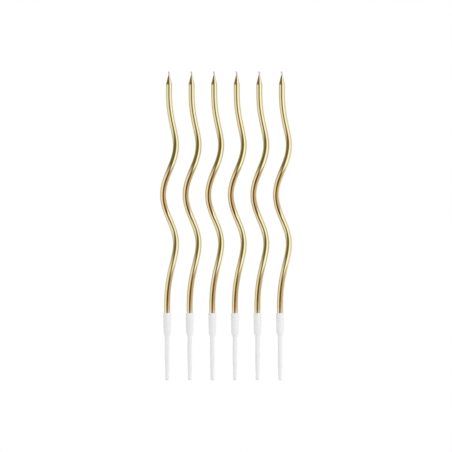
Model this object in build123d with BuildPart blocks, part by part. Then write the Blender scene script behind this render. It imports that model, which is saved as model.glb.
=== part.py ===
from build123d import *

import os
from math import cos, pi, sin, tau

# A row of spiral birthday candles, each standing in its own push-in holder.
# Every candle is a thin wax strand, wound one turn about an upright axis, with a wick
# through its whole length. Its straight foot sits in the socket of a moulded holder,
# and the holder's pick goes into the cake.
# Millimetres, +Z up. The origin is below the middle of the row, level with the pick tips.

# The row: candles side by side along X, all turned the same way
candle_count = 6
row_gap = 1.95

# The wax strand, by its centre line
strand_diameter = 3.8
spiral_radius = 3.9
spiral_pitch = 59.0
spiral_turns = 1
foot_lead = 36.6
foot_straight = 4.9
tip_lead = 31.0
tip_straight = 5.8

# The pointed tip and the wick
tip_height = 5.3
tip_land = 0.1
wick_diameter = 0.9
wick_stub = 2.5
wick_clearance = 0.02

# The holder: a socket for the candle's foot, above a thin pick
socket_depth = 8.0
socket_clearance = 0.05
rim_wall = 0.45
seat_wall = 0.26
rim_round = 0.12
floor_thickness = 2.8
shoulder_length = 3.6
shank_diameter = 2.7
shank_length = 12.5
point_length = 13.3
point_diameter = 2.1
point_round = 0.5

# Radii that follow from the sizes above
strand_radius = strand_diameter / 2
wick_radius = wick_diameter / 2
channel_radius = wick_radius + wick_clearance
tip_radius = channel_radius + tip_land
bore_radius = strand_radius + socket_clearance
rim_radius = bore_radius + rim_wall
seat_radius = bore_radius + seat_wall
shank_radius = shank_diameter / 2
point_radius = point_diameter / 2

# Heights, upwards from the pick's tip
shank_bottom = point_length
shoulder_bottom = shank_bottom + shank_length
shoulder_top = shoulder_bottom + shoulder_length
seat_height = shoulder_top + floor_thickness
rim_height = seat_height + socket_depth
foot_end = rim_height + foot_straight
spiral_start = foot_end + foot_lead
spiral_end = spiral_start + spiral_turns * spiral_pitch
tip_start = spiral_end + tip_lead
tip_base = tip_start + tip_straight
tip_top = tip_base + tip_height
wick_top = tip_top + wick_stub

# One candle is as wide as its spiral, and neighbours stand clear of each other
row_spacing = 2 * spiral_radius + strand_diameter + row_gap

# How finely the bends are divided: every span becomes two tangent arcs
spans_per_turn = 4
spans_per_lead = 3
slope_step = 0.0001


# The centre line of the strand

def turned_rise(rise, lead):
    """The rise at full turning that turns as far as a lead, whose turning fades out evenly."""
    rise = min(max(rise, 0), lead)
    return rise - rise**2 / (2 * lead)


def centre(height):
    """The strand's centre at a height, for a candle whose spiral axis is the Z axis.

    The strand keeps to the spiral's radius all the way, as if wound on a rod. Along the two
    leads its turning fades out, so that it runs into straight ends, parallel to the axis.
    """
    on_spiral = min(max(height, spiral_start), spiral_end) - spiral_start
    above = turned_rise(height - spiral_end, tip_lead)
    below = turned_rise(spiral_start - height, foot_lead)
    angle = tau * (on_spiral + above - below) / spiral_pitch
    return Vector(spiral_radius * cos(angle), spiral_radius * sin(angle), height)


def direction(height):
    """Unit tangent of the centre line at a height."""
    return (centre(height + slope_step) - centre(height - slope_step)).normalized()


def biarc(low, high):
    """Two tangent arcs that follow the centre line from one height to another."""
    start, end = centre(low), centre(high)
    out, back = direction(low), direction(high)
    chord = end - start
    along = chord.dot(out + back)
    bend = 2 * (1 - out.dot(back))
    reach = chord.dot(chord) / (along + (along**2 + bend * chord.dot(chord)) ** 0.5)
    first, second = start + out * reach, end - back * reach
    TangentArc(start, (first + second) / 2, tangent=out)
    TangentArc((first + second) / 2, end, tangent=second - first)


def strand_path(top):
    """Adds the centre line, from the foot's seat up to a height on the straight tip."""
    spiral_spans = round(spans_per_turn * spiral_turns)
    rise = (spiral_end - spiral_start) / spiral_spans
    heights = [foot_end + foot_lead * i / spans_per_lead for i in range(spans_per_lead)]
    heights += [spiral_start + rise * i for i in range(spiral_spans)]
    heights += [spiral_end + tip_lead * i / spans_per_lead for i in range(spans_per_lead + 1)]
    Line(centre(seat_height), centre(foot_end))
    for low, high in zip(heights, heights[1:]):
        biarc(low, high)
    Line(centre(tip_start), centre(top))


foot_seat = centre(seat_height)
pick_tip = Vector(foot_seat.X, foot_seat.Y, 0)


# The candle: coloured wax drawn over its wick, cut flat at the foot and sharpened at the tip
with BuildPart() as candle:
    with BuildLine() as wax_line:
        strand_path(tip_top)
    with BuildSketch(Plane(foot_seat)):
        Circle(strand_radius)
        Circle(channel_radius, mode=Mode.SUBTRACT)
    sweep()
    top_face = candle.faces().sort_by(Axis.Z)[-1]
    chamfer(
        top_face.outer_wire().edges(),
        length=strand_radius - tip_radius,
        length2=tip_height,
        reference=top_face,
    )


# The wick: a braided cotton cord from the foot's cut face to a short free end above the tip
with BuildPart() as wick:
    with BuildLine():
        strand_path(wick_top)
    with BuildSketch(Plane(foot_seat)):
        Circle(wick_radius)
    sweep()


# The holder: one turned outline, with the socket open at the top and a blunt pick below
with BuildPart() as holder:
    with BuildSketch(Plane(pick_tip, x_dir=(1, 0, 0), z_dir=(0, -1, 0))):
        with BuildLine():
            shoulder = Bezier(
                (shank_radius, shoulder_bottom),
                (shank_radius, shoulder_bottom + shoulder_length / 4),
                (seat_radius, shoulder_top - shoulder_length / 2),
                (seat_radius, shoulder_top),
            )
            Polyline(
                shoulder @ 1,
                (seat_radius, seat_height),
                (rim_radius, rim_height),
                (bore_radius, rim_height),
                (bore_radius, seat_height),
                (0, seat_height),
                (0, 0),
                (point_radius, 0),
                (shank_radius, shank_bottom),
                shoulder @ 0,
            )
        make_face()
    revolve(axis=Axis(pick_tip, (0, 0, 1)))
    fillet(holder.edges().group_by(Axis.Z)[0], point_round)
    fillet(holder.edges().group_by(Axis.Z)[-1].sort_by(SortBy.RADIUS)[-1], min(rim_round, rim_wall / 2))


# The row: every piece of every candle is a solid of its own
os.makedirs("parts", exist_ok=True)
for number in range(1, candle_count + 1):
    place = (row_spacing * (number - (candle_count + 1) / 2), 0, 0)
    for name, piece in (("candle", candle), ("wick", wick), ("holder", holder)):
        with BuildPart() as placed:
            with Locations(place):
                add(piece.part)
        placed.part.label = f"{name}_{number}"
        export_step(placed.part, f"parts/{name}_{number}.step")


# The swept strand against its section times its length, and its least gap to itself
strand_length = sum(edge.length for edge in wax_line.edges())
cone_space = pi * tip_height * (
    strand_radius**2 - (strand_radius**2 + strand_radius * tip_radius + tip_radius**2) / 3
)
tube_volume = pi * (strand_radius**2 - channel_radius**2) * strand_length - cone_space
print("overall height", round(wick_top, 2), "row spacing", round(row_spacing, 2))
print("foot beside the spiral axis", round(foot_seat.X, 3), round(foot_seat.Y, 3))
print("wax volume", round(candle.part.volume, 2), "section times length", round(tube_volume, 2))
print("tightest bend", round(min(arc.radius for arc in wax_line.edges().filter_by(GeomType.CIRCLE)), 2))

points = [edge @ (i / 4) for edge in wax_line.edges() for i in range(4)]
apart = [
    (low - high).length
    for low in points
    for high in points
    if high.Z - low.Z > spiral_pitch / 4
]
print("least gap of the strand to itself", round(min(apart) - strand_diameter, 2))
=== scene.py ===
from math import cos, pi, radians, sin, tau

import bmesh
import bpy
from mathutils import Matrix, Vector


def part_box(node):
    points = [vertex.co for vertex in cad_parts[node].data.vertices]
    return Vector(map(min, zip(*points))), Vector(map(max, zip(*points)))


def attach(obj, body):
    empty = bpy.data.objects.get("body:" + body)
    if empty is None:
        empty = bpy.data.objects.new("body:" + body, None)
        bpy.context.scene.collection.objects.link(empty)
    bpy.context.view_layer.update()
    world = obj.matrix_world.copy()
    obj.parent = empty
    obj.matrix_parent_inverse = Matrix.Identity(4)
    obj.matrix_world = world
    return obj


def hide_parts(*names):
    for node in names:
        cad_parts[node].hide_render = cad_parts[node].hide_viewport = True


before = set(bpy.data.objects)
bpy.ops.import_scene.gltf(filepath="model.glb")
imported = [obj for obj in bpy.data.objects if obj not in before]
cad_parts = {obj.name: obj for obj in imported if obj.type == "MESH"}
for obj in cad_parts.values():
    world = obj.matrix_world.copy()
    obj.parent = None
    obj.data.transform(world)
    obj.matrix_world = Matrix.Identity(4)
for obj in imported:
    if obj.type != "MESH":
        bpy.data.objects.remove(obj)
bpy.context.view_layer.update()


# The wicks
# Each wick is a thin cord of three cotton plies, twisted together and stiffened with wax. The
# candle's wax is drawn over it, so it runs from the cut foot through the whole strand, and its
# cut end stands a little out of the tip.

mm = 0.001
candle_low, candle_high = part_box("candle_1")
strand_radius = 1.9 * mm
spiral_radius = (candle_high.x - candle_low.x) / 2 - strand_radius
spiral_pitch = 59 * mm
spiral_turns = 1
foot_lead = 36.6 * mm
tip_lead = 31 * mm
tip_straight = 5.8 * mm
tip_height = 5.3 * mm
ply_radius = 0.225 * mm
ply_offset = 0.225 * mm
ply_count = 3
ply_sides = 10
ply_end_round = 0.1 * mm
wick_cuts = (39, 11)
lay_length = 3.2 * mm
wick_lean = 0.35 * mm
wick_cut = 0.1 * mm

foot_height = candle_low.z
tip_top = candle_high.z
wick_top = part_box("wick_1")[1].z
tip_base = tip_top - tip_height
spiral_end = tip_base - tip_straight - tip_lead
spiral_start = spiral_end - spiral_turns * spiral_pitch
touching = 0.001 * mm


def turned_rise(rise, lead):
    """The rise at full turning that turns as far as a lead, whose turning fades out evenly."""
    rise = min(max(rise, 0), lead)
    return rise - rise**2 / (2 * lead)


def strand_centre(height):
    """The strand's centre at a height, for a candle whose spiral axis is the Z axis.

    Above the tip only the wick is left, and its free end leans a little to the left.
    """
    on_spiral = min(max(height, spiral_start), spiral_end) - spiral_start
    above = turned_rise(height - spiral_end, tip_lead)
    below = turned_rise(spiral_start - height, foot_lead)
    angle = tau * (on_spiral + above - below) / spiral_pitch
    free_share = max(0, height - tip_top) / (wick_top - tip_top)
    lean = wick_lean * free_share**2
    return Vector((spiral_radius * cos(angle) - lean, spiral_radius * sin(angle), height))


# The line that the straight wick and the straight wax strand are bent along
bend_steps = 300
rise = (wick_top - foot_height) / bend_steps
bend_points = [strand_centre(foot_height + rise * step) for step in range(bend_steps + 1)]
bend_length = sum((high - low).length for low, high in zip(bend_points, bend_points[1:]))
bpy.ops.object.select_all(action="DESELECT")
bpy.ops.curve.primitive_nurbs_path_add()
bend_line = bpy.context.object
bend_line.name = "spiral_bend"
bend_line.data.splines.clear()
spline = bend_line.data.splines.new("POLY")
spline.points.add(bend_steps)
for point, spot in zip(spline.points, bend_points):
    point.co = (*spot, 1)


def select_edges(piece, wanted):
    """Selects the edges that a test of their two ends wants, and nothing else."""
    bpy.ops.mesh.select_mode(type="EDGE")
    bpy.ops.mesh.select_all(action="DESELECT")
    shape = bmesh.from_edit_mesh(piece.data)
    for edge in shape.edges:
        edge.select_set(wanted(edge.verts[0].co, edge.verts[1].co))
    bmesh.update_edit_mesh(piece.data)


def lengthwise(one, other):
    """Test for the edges that run along a straight blank."""
    return abs(other.z - one.z) > (other - one).xy.length


def apply_modifier(piece, kind, settings):
    """Adds a modifier with its settings to a piece and applies it."""
    modifier = piece.modifiers.new(kind.lower(), kind)
    for name, value in settings.items():
        setattr(modifier, name, value)
    bpy.context.view_layer.objects.active = piece
    bpy.ops.object.modifier_apply(modifier=modifier.name)


wick_length = bend_length - wick_cut
bpy.ops.object.select_all(action="DESELECT")
bpy.ops.mesh.primitive_cylinder_add(
    vertices=ply_sides,
    radius=ply_radius,
    depth=wick_length,
    location=(ply_offset, 0, wick_length / 2),
)
wick_model = bpy.context.object
bpy.ops.object.transform_apply(location=True, rotation=False, scale=False)
bpy.ops.object.mode_set(mode="EDIT")
for cuts in wick_cuts:
    select_edges(wick_model, lengthwise)
    bpy.ops.mesh.subdivide(number_cuts=cuts)
for end in (0, wick_length):
    select_edges(wick_model, lambda one, other: max(abs(one.z - end), abs(other.z - end)) < touching)
    bpy.ops.mesh.bevel(offset=ply_end_round, segments=2, affect="EDGES")
bpy.ops.mesh.select_all(action="SELECT")
for ply in range(1, ply_count):
    bpy.ops.mesh.duplicate()
    bpy.ops.transform.rotate(value=tau / ply_count, orient_axis="Z", center_override=(0, 0, 0))
bpy.ops.object.mode_set(mode="OBJECT")
twist = {"deform_method": "TWIST", "deform_axis": "Z", "angle": tau * wick_length / lay_length}
apply_modifier(wick_model, "SIMPLE_DEFORM", twist)
apply_modifier(wick_model, "CURVE", {"object": bend_line, "deform_axis": "POS_Z"})
bpy.ops.object.shade_smooth_by_angle(angle=radians(50))


def linear(hex_colour):
    """Turns an sRGB hex colour into linear red, green, blue and alpha."""
    shares = [int(hex_colour[i:i + 2], 16) / 255 for i in (0, 2, 4)]
    return [c / 12.92 if c <= 0.04045 else ((c + 0.055) / 1.055) ** 2.4 for c in shares] + [1]


def add_node(tree, kind, settings=None, links=None):
    """Adds a node, sets its properties and its inputs' values, and links its other inputs."""
    node = tree.nodes.new(kind)
    for name, value in (settings or {}).items():
        if isinstance(name, str) and hasattr(node, name):
            setattr(node, name, value)
        else:
            node.inputs[name].default_value = value
    for name, source in (links or {}).items():
        tree.links.new(source, node.inputs[name])
    return node


def start_material(name):
    """A new material with an empty node tree and the place on the piece as its first node."""
    material = bpy.data.materials.new(name)
    material.use_nodes = True
    material.node_tree.nodes.clear()
    place = add_node(material.node_tree, "ShaderNodeTexCoord")
    return material, material.node_tree, place.outputs["Object"]


# Waxed cotton yarn is a greyish cream and dull, with fine fibres along each ply that catch the
# light and hold a little more wax in some places than in others. The fibres are drawn coarser
# than they are, so that they show.
fibre_size = 0.12 * mm
fibre_length_in_widths = 5
wax_patch = 0.9 * mm
waxed_cotton, tree, place = start_material("waxed_cotton_yarn")
along = add_node(
    tree, "ShaderNodeMapping",
    {"Scale": (1, 1, 1 / fibre_length_in_widths)},
    {"Vector": place},
)
fibres = add_node(
    tree, "ShaderNodeTexNoise",
    {"Scale": 1 / fibre_size, "Detail": 2},
    {"Vector": along.outputs["Vector"]},
)
patches = add_node(tree, "ShaderNodeTexNoise", {"Scale": 1 / wax_patch}, {"Vector": place})
yarn = add_node(
    tree, "ShaderNodeMix",
    {"data_type": "RGBA", 6: linear("BCB6A2"), 7: linear("D2CCB9")},
    {0: fibres.outputs["Fac"]},
)
dullness = add_node(
    tree, "ShaderNodeMapRange",
    {"To Min": 0.5, "To Max": 0.9},
    {"Value": patches.outputs["Fac"]},
)
raised = add_node(
    tree, "ShaderNodeBump",
    {"Strength": 0.6, "Distance": 0.03 * mm},
    {"Height": fibres.outputs["Fac"]},
)
shader = add_node(
    tree, "ShaderNodeBsdfPrincipled",
    {"Sheen Weight": 0.2},
    {
        "Base Color": yarn.outputs[2],
        "Roughness": dullness.outputs["Result"],
        "Normal": raised.outputs["Normal"],
    },
)
add_node(tree, "ShaderNodeOutputMaterial", links={"Surface": shader.outputs["BSDF"]})


def place_copy(model, name, spot, material):
    """A copy of a model with a mesh of its own, put in its place in the row."""
    bpy.ops.object.select_all(action="DESELECT")
    model.select_set(True)
    bpy.context.view_layer.objects.active = model
    bpy.ops.object.duplicate(linked=False)
    piece = bpy.context.object
    piece.name = piece.data.name = name
    piece.location = spot
    bpy.ops.object.transform_apply(location=True, rotation=False, scale=False)
    piece.data.materials.append(material)
    return piece


def middle(node):
    """The place in the row of a piece that is modelled on the Z axis, from its node's box."""
    low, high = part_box(node)
    return ((low.x + high.x) / 2, (low.y + high.y) / 2, 0)


candle_numbers = range(1, sum(name.startswith("candle_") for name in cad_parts) + 1)
for number in candle_numbers:
    wick = place_copy(wick_model, f"cotton_wick_{number}", middle(f"candle_{number}"), waxed_cotton)
    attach(wick, f"candle_{number}")
    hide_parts(f"wick_{number}")
bpy.data.objects.remove(wick_model)


# The candles
# Each candle is a thin strand of paraffin wax, drawn over its wick, cut off at the foot, sharpened
# at the tip and dipped in gold lacquer. It is wound round a rod while warm, for one slow turn, so
# that it waves from every side and both its ends stay straight.

channel_radius = 0.47 * mm
tip_radius = 0.57 * mm
cone_round = 0.6 * mm
tip_round = 0.04 * mm
foot_round = 0.08 * mm
strand_cuts = (9, 14)
strand_sides = 48
unevenness = 0.03 * mm
unevenness_spread = 6 * mm
socket_depth = 8 * mm
# How far above the socket, and how strongly, the gold is painted paler: rubbed lacquer and a painted
# reflection of the holder's white rim
wear_and_reflection_reach = 4 * mm
socket_wear_and_reflection = 0.9
tip_paling_length = 5 * mm
foot_rub = 0.3 * mm

strand_length = bend_length - (wick_top - tip_base)
blank_length = strand_length + tip_height


def draw_outline(name, points):
    """Draws half of a turned piece's section, point after point, and stays in edit mode."""
    bpy.ops.object.select_all(action="DESELECT")
    bpy.ops.mesh.primitive_plane_add(size=mm)
    piece = bpy.context.object
    piece.name = piece.data.name = name
    bpy.ops.object.mode_set(mode="EDIT")
    bpy.ops.mesh.select_mode(type="VERT")
    bpy.ops.mesh.merge(type="CENTER")
    bpy.ops.transform.translate(value=(points[0][0], 0, points[0][1]))
    for here, there in zip(points, points[1:]):
        step = (there[0] - here[0], 0, there[1] - here[1])
        bpy.ops.mesh.extrude_region_move(TRANSFORM_OT_translate={"value": step})
    return piece


def turn_round(sides):
    """Spins the drawn outline about the Z axis, and closes its seam and its poles."""
    bpy.ops.mesh.select_all(action="SELECT")
    bpy.ops.mesh.spin(steps=sides, angle=tau, center=(0, 0, 0), axis=(0, 0, 1))
    bpy.ops.mesh.select_all(action="SELECT")
    bpy.ops.mesh.remove_doubles(threshold=touching)
    bpy.ops.mesh.normals_make_consistent(inside=False)


def round_ring(piece, radius, height, size, segments):
    """Rounds one turned edge of a piece."""
    def on_ring(spot):
        return abs(spot.xy.length - radius) < touching and abs(spot.z - height) < touching

    select_edges(piece, lambda one, other: on_ring(one) and on_ring(other))
    bpy.ops.mesh.bevel(offset=size, segments=segments, affect="EDGES")


candle_model = draw_outline(
    "candle_blank",
    [
        (channel_radius, 0),
        (strand_radius, 0),
        (strand_radius, strand_length),
        (tip_radius, blank_length),
        (channel_radius, blank_length),
        (channel_radius, 0),
    ],
)
for cuts in strand_cuts:
    select_edges(candle_model, lengthwise)
    bpy.ops.mesh.subdivide(number_cuts=cuts)
turn_round(strand_sides)
round_ring(candle_model, strand_radius, strand_length, cone_round, 4)
round_ring(candle_model, tip_radius, blank_length, tip_round, 3)
round_ring(candle_model, strand_radius, 0, foot_round, 2)
bpy.ops.object.mode_set(mode="OBJECT")

# Where the lacquer is paler and duller: rubbed on the foot's edge and in the socket, a little above
# the socket both rubbed and a painted reflection of the holder's white rim, and towards the point
wear_and_painted_reflection = candle_model.data.attributes.new("wear_and_painted_reflection", "FLOAT", "POINT")
for vertex in candle_model.data.vertices:
    on_foot = 1 - vertex.co.z / foot_rub
    in_socket = socket_wear_and_reflection * (1 - max(0, vertex.co.z - socket_depth) / wear_and_reflection_reach)
    on_tip = 1 - (blank_length - vertex.co.z) / tip_paling_length
    wear_and_painted_reflection.data[vertex.index].value = max(on_foot, in_socket, on_tip, 0)

dipping_waves = bpy.data.textures.new("dipping_waves", "CLOUDS")
dipping_waves.noise_scale = unevenness_spread
sink = {"texture": dipping_waves, "texture_coords": "LOCAL", "strength": unevenness, "mid_level": 1}
apply_modifier(candle_model, "DISPLACE", sink)
apply_modifier(candle_model, "CURVE", {"object": bend_line, "deform_axis": "POS_Z"})
bpy.ops.object.shade_smooth_by_angle(angle=radians(30))
bpy.data.objects.remove(bend_line)

# Gold lacquer is fine metal flake in a clear gloss. It mirrors what stands round it in a pale
# yellow gold, softly, with the slow ripple of the dipped wax below, a fine orange peel, and a
# paler, duller look on the rubbed foot, above the socket, where it is rubbed and carries a painted
# reflection of the holder's white rim, and towards the point.
tint_spread = 7 * mm
peel_size = 0.7 * mm
scuff_size = 0.5 * mm
wear_dulling = 0.35
gold_lacquer, tree, place = start_material("gold_lacquer_on_paraffin_wax")
drift = add_node(tree, "ShaderNodeTexNoise", {"Scale": 1 / tint_spread, "Detail": 3}, {"Vector": place})
peel = add_node(tree, "ShaderNodeTexNoise", {"Scale": 1 / peel_size, "Detail": 2}, {"Vector": place})
scuffs = add_node(tree, "ShaderNodeTexNoise", {"Scale": 1 / scuff_size, "Detail": 4}, {"Vector": place})
wear_and_reflection_attribute = add_node(tree, "ShaderNodeAttribute", {"attribute_name": "wear_and_painted_reflection"})
wear_and_reflection_marks = add_node(
    tree, "ShaderNodeMath",
    {"operation": "MULTIPLY"},
    {0: wear_and_reflection_attribute.outputs["Fac"], 1: scuffs.outputs["Fac"]},
)
gold = add_node(
    tree, "ShaderNodeMix",
    {"data_type": "RGBA", 6: linear("EAD7A6"), 7: linear("F0E0B4")},
    {0: drift.outputs["Fac"]},
)
# Paler gold where the lacquer is rubbed; just above the socket this is also a painted reflection of the
# holder's white rim
worn_gold_with_painted_reflection = add_node(
    tree, "ShaderNodeMix",
    {"data_type": "RGBA", 7: linear("F3EBD3")},
    {0: wear_and_reflection_marks.outputs["Value"], 6: gold.outputs[2]},
)
polish = add_node(
    tree, "ShaderNodeMapRange",
    {"To Min": 0.07, "To Max": 0.11},
    {"Value": drift.outputs["Fac"]},
)
dulled = add_node(
    tree, "ShaderNodeMath",
    {"operation": "MULTIPLY_ADD", 1: wear_dulling},
    {0: wear_and_reflection_marks.outputs["Value"], 2: polish.outputs["Result"]},
)
orange_peel = add_node(
    tree, "ShaderNodeBump",
    {"Strength": 0.15, "Distance": 0.02 * mm},
    {"Height": peel.outputs["Fac"]},
)
shader = add_node(
    tree, "ShaderNodeBsdfPrincipled",
    {"Metallic": 1, "Coat Weight": 0.2, "Coat Roughness": 0.06},
    {
        "Base Color": worn_gold_with_painted_reflection.outputs[2],
        "Roughness": dulled.outputs["Value"],
        "Normal": orange_peel.outputs["Normal"],
    },
)
add_node(tree, "ShaderNodeOutputMaterial", links={"Surface": shader.outputs["BSDF"]})

for number in candle_numbers:
    candle = place_copy(candle_model, f"gold_candle_{number}", middle(f"candle_{number}"), gold_lacquer)
    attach(candle, f"candle_{number}")
    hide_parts(f"candle_{number}")
bpy.data.objects.remove(candle_model)


# The push-in holders
# Each holder is one injection moulding in white polypropylene: a thin socket that grips the
# candle's foot, a rounded shoulder, and a pick with a blunt end that goes into the cake. The
# mould leaves a fine parting line down both sides and a sunken gate mark in the pick's end.

holder_low, holder_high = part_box("holder_1")
rim_height = holder_high.z
rim_radius = (holder_high.x - holder_low.x) / 2
rim_round = 0.12 * mm
bore_radius = 1.95 * mm
bore_round = 0.1 * mm
seat_radius = 2.21 * mm
floor_thickness = 2.8 * mm
shoulder_length = 3.6 * mm
shoulder_steps = 10
shoulder_low_pull = 1 / 4
shoulder_high_pull = 1 / 2
shank_radius = 1.35 * mm
shank_length = 12.5 * mm
point_radius = 1.05 * mm
point_round = 0.5 * mm
gate_radius = 0.35 * mm
gate_floor_radius = 0.28 * mm
gate_depth = 0.12 * mm
parting_width = 0.14 * mm
parting_height = 0.03 * mm
holder_sides = 64

seat_height = rim_height - socket_depth
shoulder_top = seat_height - floor_thickness
shoulder_bottom = shoulder_top - shoulder_length
shank_bottom = shoulder_bottom - shank_length


def shoulder_point(share):
    """A point of the swelling from the shank to the socket, a curve with upright ends."""
    back = 1 - share
    from_shank = back**3 + 3 * back**2 * share
    low_pull = 3 * back**2 * share * shoulder_low_pull
    high_pull = 3 * back * share**2 * shoulder_high_pull
    return (
        seat_radius + (shank_radius - seat_radius) * from_shank,
        shoulder_bottom + shoulder_length * (low_pull + high_pull + share**3),
    )


holder_outline = [
    (0, gate_depth),
    (gate_floor_radius, gate_depth),
    (gate_radius, 0),
    (point_radius, 0),
    (shank_radius, shank_bottom),
]
holder_outline += [shoulder_point(step / shoulder_steps) for step in range(shoulder_steps + 1)]
holder_outline += [
    (seat_radius, seat_height),
    (rim_radius, rim_height),
    (bore_radius, rim_height),
    (bore_radius, seat_height),
    (0, seat_height),
]
holder_model = draw_outline("holder_blank", holder_outline)
turn_round(holder_sides)
round_ring(holder_model, point_radius, 0, point_round, 5)
round_ring(holder_model, rim_radius, rim_height, rim_round, 3)
round_ring(holder_model, bore_radius, rim_height, bore_round, 2)


def on_parting_line(one, other):
    """Test for the outer edges in the mould's parting plane, between the pick's end and the rim."""
    return all(
        abs(spot.y) < touching
        and point_round < spot.z < rim_height - rim_round / 2
        and (spot.z < shoulder_top or abs(spot.x) > (bore_radius + seat_radius) / 2)
        for spot in (one, other)
    )


select_edges(holder_model, on_parting_line)
bpy.ops.mesh.bevel(offset=parting_width / 2, segments=2, affect="EDGES")
select_edges(holder_model, on_parting_line)
bpy.ops.transform.resize(value=(1 + parting_height / shank_radius, 1, 1), center_override=(0, 0, 0))
bpy.ops.object.mode_set(mode="OBJECT")
bpy.ops.object.shade_smooth_by_angle(angle=radians(40))

# Moulded polypropylene is white all through and a little translucent, with a satin skin that
# shows the mould's fine polishing marks and faint clouds where the melt flowed together. The
# marks are drawn coarser than they are, so that they show.
flow_cloud = 6 * mm
skin_grain = 0.35 * mm
polypropylene, tree, place = start_material("moulded_white_polypropylene")
clouds = add_node(tree, "ShaderNodeTexNoise", {"Scale": 1 / flow_cloud, "Detail": 2}, {"Vector": place})
grain = add_node(tree, "ShaderNodeTexNoise", {"Scale": 1 / skin_grain, "Detail": 3}, {"Vector": place})
white = add_node(
    tree, "ShaderNodeMix",
    {"data_type": "RGBA", 6: linear("EFF0F1"), 7: linear("F5F5F6")},
    {0: clouds.outputs["Fac"]},
)
satin = add_node(
    tree, "ShaderNodeMapRange",
    {"To Min": 0.32, "To Max": 0.46},
    {"Value": grain.outputs["Fac"]},
)
polish_marks = add_node(
    tree, "ShaderNodeBump",
    {"Strength": 0.1, "Distance": 0.01 * mm},
    {"Height": grain.outputs["Fac"]},
)
shader = add_node(
    tree, "ShaderNodeBsdfPrincipled",
    {
        "IOR": 1.49,
        "Subsurface Weight": 0.1,
        "Subsurface Radius": (1, 1, 1),
        "Subsurface Scale": 0.6 * mm,
    },
    {
        "Base Color": white.outputs[2],
        "Roughness": satin.outputs["Result"],
        "Normal": polish_marks.outputs["Normal"],
    },
)
add_node(tree, "ShaderNodeOutputMaterial", links={"Surface": shader.outputs["BSDF"]})

for number in candle_numbers:
    holder = place_copy(holder_model, f"moulded_holder_{number}", middle(f"holder_{number}"), polypropylene)
    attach(holder, f"holder_{number}")
    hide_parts(f"holder_{number}")
bpy.data.objects.remove(holder_model)


# The floor
# A wide sheet of matt white studio card, level with the pick tips. The level view from the front
# sees it edge on. The other views see it nearly white, with the row's soft shadow on it.

floor_size = 12
camera_white = 0.12
pulp_size = 2 * mm
bpy.ops.object.select_all(action="DESELECT")
bpy.ops.mesh.primitive_plane_add(size=floor_size)
studio_floor = bpy.context.object
studio_floor.name = studio_floor.data.name = "studio_floor"
studio_floor.visible_glossy = False
matt_card, tree, place = start_material("matt_white_card")
pulp = add_node(tree, "ShaderNodeTexNoise", {"Scale": 1 / pulp_size, "Detail": 3}, {"Vector": place})
card_white = add_node(
    tree, "ShaderNodeMix",
    {"data_type": "RGBA", 6: linear("F6F6F5"), 7: linear("F9F9F8")},
    {0: pulp.outputs["Fac"]},
)
ray = add_node(tree, "ShaderNodeLightPath")
whiter = add_node(
    tree, "ShaderNodeMapRange",
    {"To Max": camera_white},
    {"Value": ray.outputs["Is Camera Ray"]},
)
shader = add_node(
    tree, "ShaderNodeBsdfPrincipled",
    {"Roughness": 0.9, "Specular IOR Level": 0.1, "Emission Color": linear("FFFFFF")},
    {"Base Color": card_white.outputs[2], "Emission Strength": whiter.outputs["Result"]},
)
add_node(tree, "ShaderNodeOutputMaterial", links={"Surface": shader.outputs["BSDF"]})
studio_floor.data.materials.append(matt_card)


# The light tent
# A round tent about the row that glows and that only the gold mirrors, painted with the reflections
# that the gold shows: a painted daylight softbox on its right above a painted brown table, painted
# white cloth on its left up to a hem, and painted dark for the dark room above that hem, through the
# opening that the camera looks in by, and in a gap behind the row. In front below the table's edge it
# is painted shade.

tent_radius = 0.4
tent_low = -0.7
tent_high = 0.9
tent_sides = 96
tent_light = 1.5

bpy.ops.object.select_all(action="DESELECT")
bpy.ops.mesh.primitive_cylinder_add(
    vertices=tent_sides,
    radius=tent_radius,
    depth=tent_high - tent_low,
    end_fill_type="NOTHING",
    location=(0, 0, (tent_high + tent_low) / 2),
)
bpy.ops.object.transform_apply(location=True, rotation=False, scale=False)
light_tent = bpy.context.object
light_tent.name = light_tent.data.name = "light_tent"
light_tent.visible_camera = False
light_tent.visible_diffuse = False
light_tent.visible_transmission = False
light_tent.visible_shadow = False

painted_reflection_material, tree, place = start_material("tent_painted_with_reflections")
painted_reflection_material.cycles.emission_sampling = "NONE"
part = add_node(tree, "ShaderNodeSeparateXYZ", links={"Vector": place})
front = add_node(tree, "ShaderNodeMath", {"operation": "MULTIPLY", 1: -1}, {0: part.outputs["Y"]})
turn = add_node(
    tree, "ShaderNodeMath",
    {"operation": "ARCTAN2"},
    {0: part.outputs["X"], 1: front.outputs["Value"]},
)
round_share = add_node(
    tree, "ShaderNodeMapRange",
    {"From Min": -pi, "From Max": pi},
    {"Value": turn.outputs["Value"]},
)

# The tent's glow colours: painted reflections of a softbox, cloth and a table. The last two are painted
# shade, standing in for the shade in front of the table and for the dark room.
daylight = linear("E9F4FD")
white_cloth = linear("D4D8DB")
grey_cloth = linear("B2B2B0")
brown_table = linear("B0A295")
table_shade = linear("5C4014")
painted_dark_room = linear("60572F")

# Where things stand round the row, in degrees from the camera to the right
back_edge = 155
left_rear = -105
left_middle = -75
left_front = -45
opening_left = -20
opening_right = 0
shade_left = -30
shade_right = 20
table_left = 40
table_right = 75
softbox_left = 30
softbox_right = 55
right_middle = 90
right_rear = 125


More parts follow.
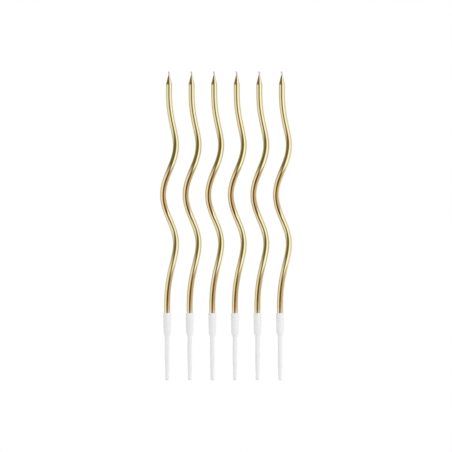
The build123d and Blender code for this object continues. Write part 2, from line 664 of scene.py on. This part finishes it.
def tent_ring(stops):
    """The painted reflection colours round the tent at one height, with a painted dark gap behind the row.
    """
    stops = [(-back_edge, stops[0][1]), *stops, (back_edge, stops[-1][1])]
    stops = [(-180, painted_dark_room), *stops, (180, painted_dark_room)]
    node = add_node(tree, "ShaderNodeValToRGB", links={0: round_share.outputs["Result"]})
    ramp = node.color_ramp
    while len(ramp.elements) < len(stops):
        ramp.elements.new(0.5)
    for element, (degrees, colour) in zip(ramp.elements, stops):
        element.position = (degrees + 180) / 360
        element.color = colour
    return node.outputs["Color"]


def fade_up(low, high, below, above):
    """Fades from the colours below one height to the colours above another."""
    climb = add_node(
        tree, "ShaderNodeMapRange",
        {"From Min": low, "From Max": high},
        {"Value": part.outputs["Z"]},
    )
    mixed = add_node(
        tree, "ShaderNodeMix",
        {"data_type": "RGBA"},
        {0: climb.outputs["Result"], 6: below, 7: above},
    )
    return mixed.outputs[2]


left_cloth = [(left_rear, grey_cloth), (left_middle, white_cloth), (left_front, white_cloth)]
softbox = [(softbox_left, daylight), (softbox_right, daylight)]
right_cloth = [(right_middle, grey_cloth), (right_rear, white_cloth)]
opening = [(opening_left, painted_dark_room), (opening_right, painted_dark_room)]
shade = [(shade_left, table_shade), (shade_right, table_shade)]
table = [(table_left, brown_table), (table_right, brown_table)]

# The heights at which the table's edge and the left cloth's hem begin and end
table_low = 0.045
table_high = 0.055
hem_low = 0.17
hem_high = 0.33
under_table = tent_ring(left_cloth + shade + table + right_cloth[1:])
over_table = tent_ring(left_cloth + opening + softbox + right_cloth)
over_hem = tent_ring([(left_rear, painted_dark_room)] + opening + softbox + right_cloth)
mirrored = fade_up(table_low, table_high, under_table, over_table)
mirrored = fade_up(hem_low, hem_high, mirrored, over_hem)
glow = add_node(tree, "ShaderNodeEmission", {"Strength": tent_light}, {"Color": mirrored})
add_node(tree, "ShaderNodeOutputMaterial", links={"Surface": glow.outputs["Emission"]})
light_tent.data.materials.append(painted_reflection_material)


# The white studio
# The camera sees plain white all round, and so does the gold past the tent's open ends. Soft light
# comes from everywhere.

soft_light = 0.82
studio = bpy.data.worlds.new("white_studio")
bpy.context.scene.world = studio
studio.use_nodes = True
studio.cycles.sampling_method = "NONE"
tree = studio.node_tree
tree.nodes.clear()
ray = add_node(tree, "ShaderNodeLightPath")
straight = add_node(
    tree, "ShaderNodeMath",
    {"operation": "MAXIMUM"},
    {0: ray.outputs["Is Camera Ray"], 1: ray.outputs["Is Transmission Ray"]},
)
seen = add_node(
    tree, "ShaderNodeMath",
    {"operation": "MAXIMUM"},
    {0: straight.outputs["Value"], 1: ray.outputs["Is Glossy Ray"]},
)
brightness = add_node(
    tree, "ShaderNodeMapRange",
    {"To Min": soft_light, "To Max": 1},
    {"Value": seen.outputs["Value"]},
)
background = add_node(
    tree, "ShaderNodeBackground",
    {"Color": linear("FFFFFF")},
    {"Strength": brightness.outputs["Result"]},
)
add_node(tree, "ShaderNodeOutputWorld", links={"Surface": background.outputs["Background"]})


# The lamp
# One large softbox to the right of the camera, a little above the row. It rounds the white holders
# and gives the row its shadow; the gold already mirrors the painted softbox of the tent.

lamp_spot = Vector((1.1, -0.9, 0.7))
lamp_aim = Vector((0, 0, 0.09))
lamp_size = 0.9
lamp_power = 5.2
bpy.ops.object.light_add(type="AREA", location=lamp_spot)
softbox_lamp = bpy.context.object
softbox_lamp.name = "softbox_lamp"
softbox_lamp.data.size = lamp_size
softbox_lamp.data.energy = lamp_power
softbox_lamp.rotation_euler = (lamp_aim - lamp_spot).to_track_quat("-Z", "Y").to_euler()
softbox_lamp.visible_glossy = False


# The camera
# It looks level from straight in front, from far off, so that nothing grows smaller with distance.

picture_width = 0.2712
picture_middle = (-0.00004, -3, 0.09249)
bpy.ops.object.camera_add(location=picture_middle, rotation=(pi / 2, 0, 0))
camera = bpy.context.object
camera.data.type = "ORTHO"
camera.data.ortho_scale = picture_width
bpy.context.scene.camera = camera
bpy.context.scene.view_settings.view_transform = "Standard"
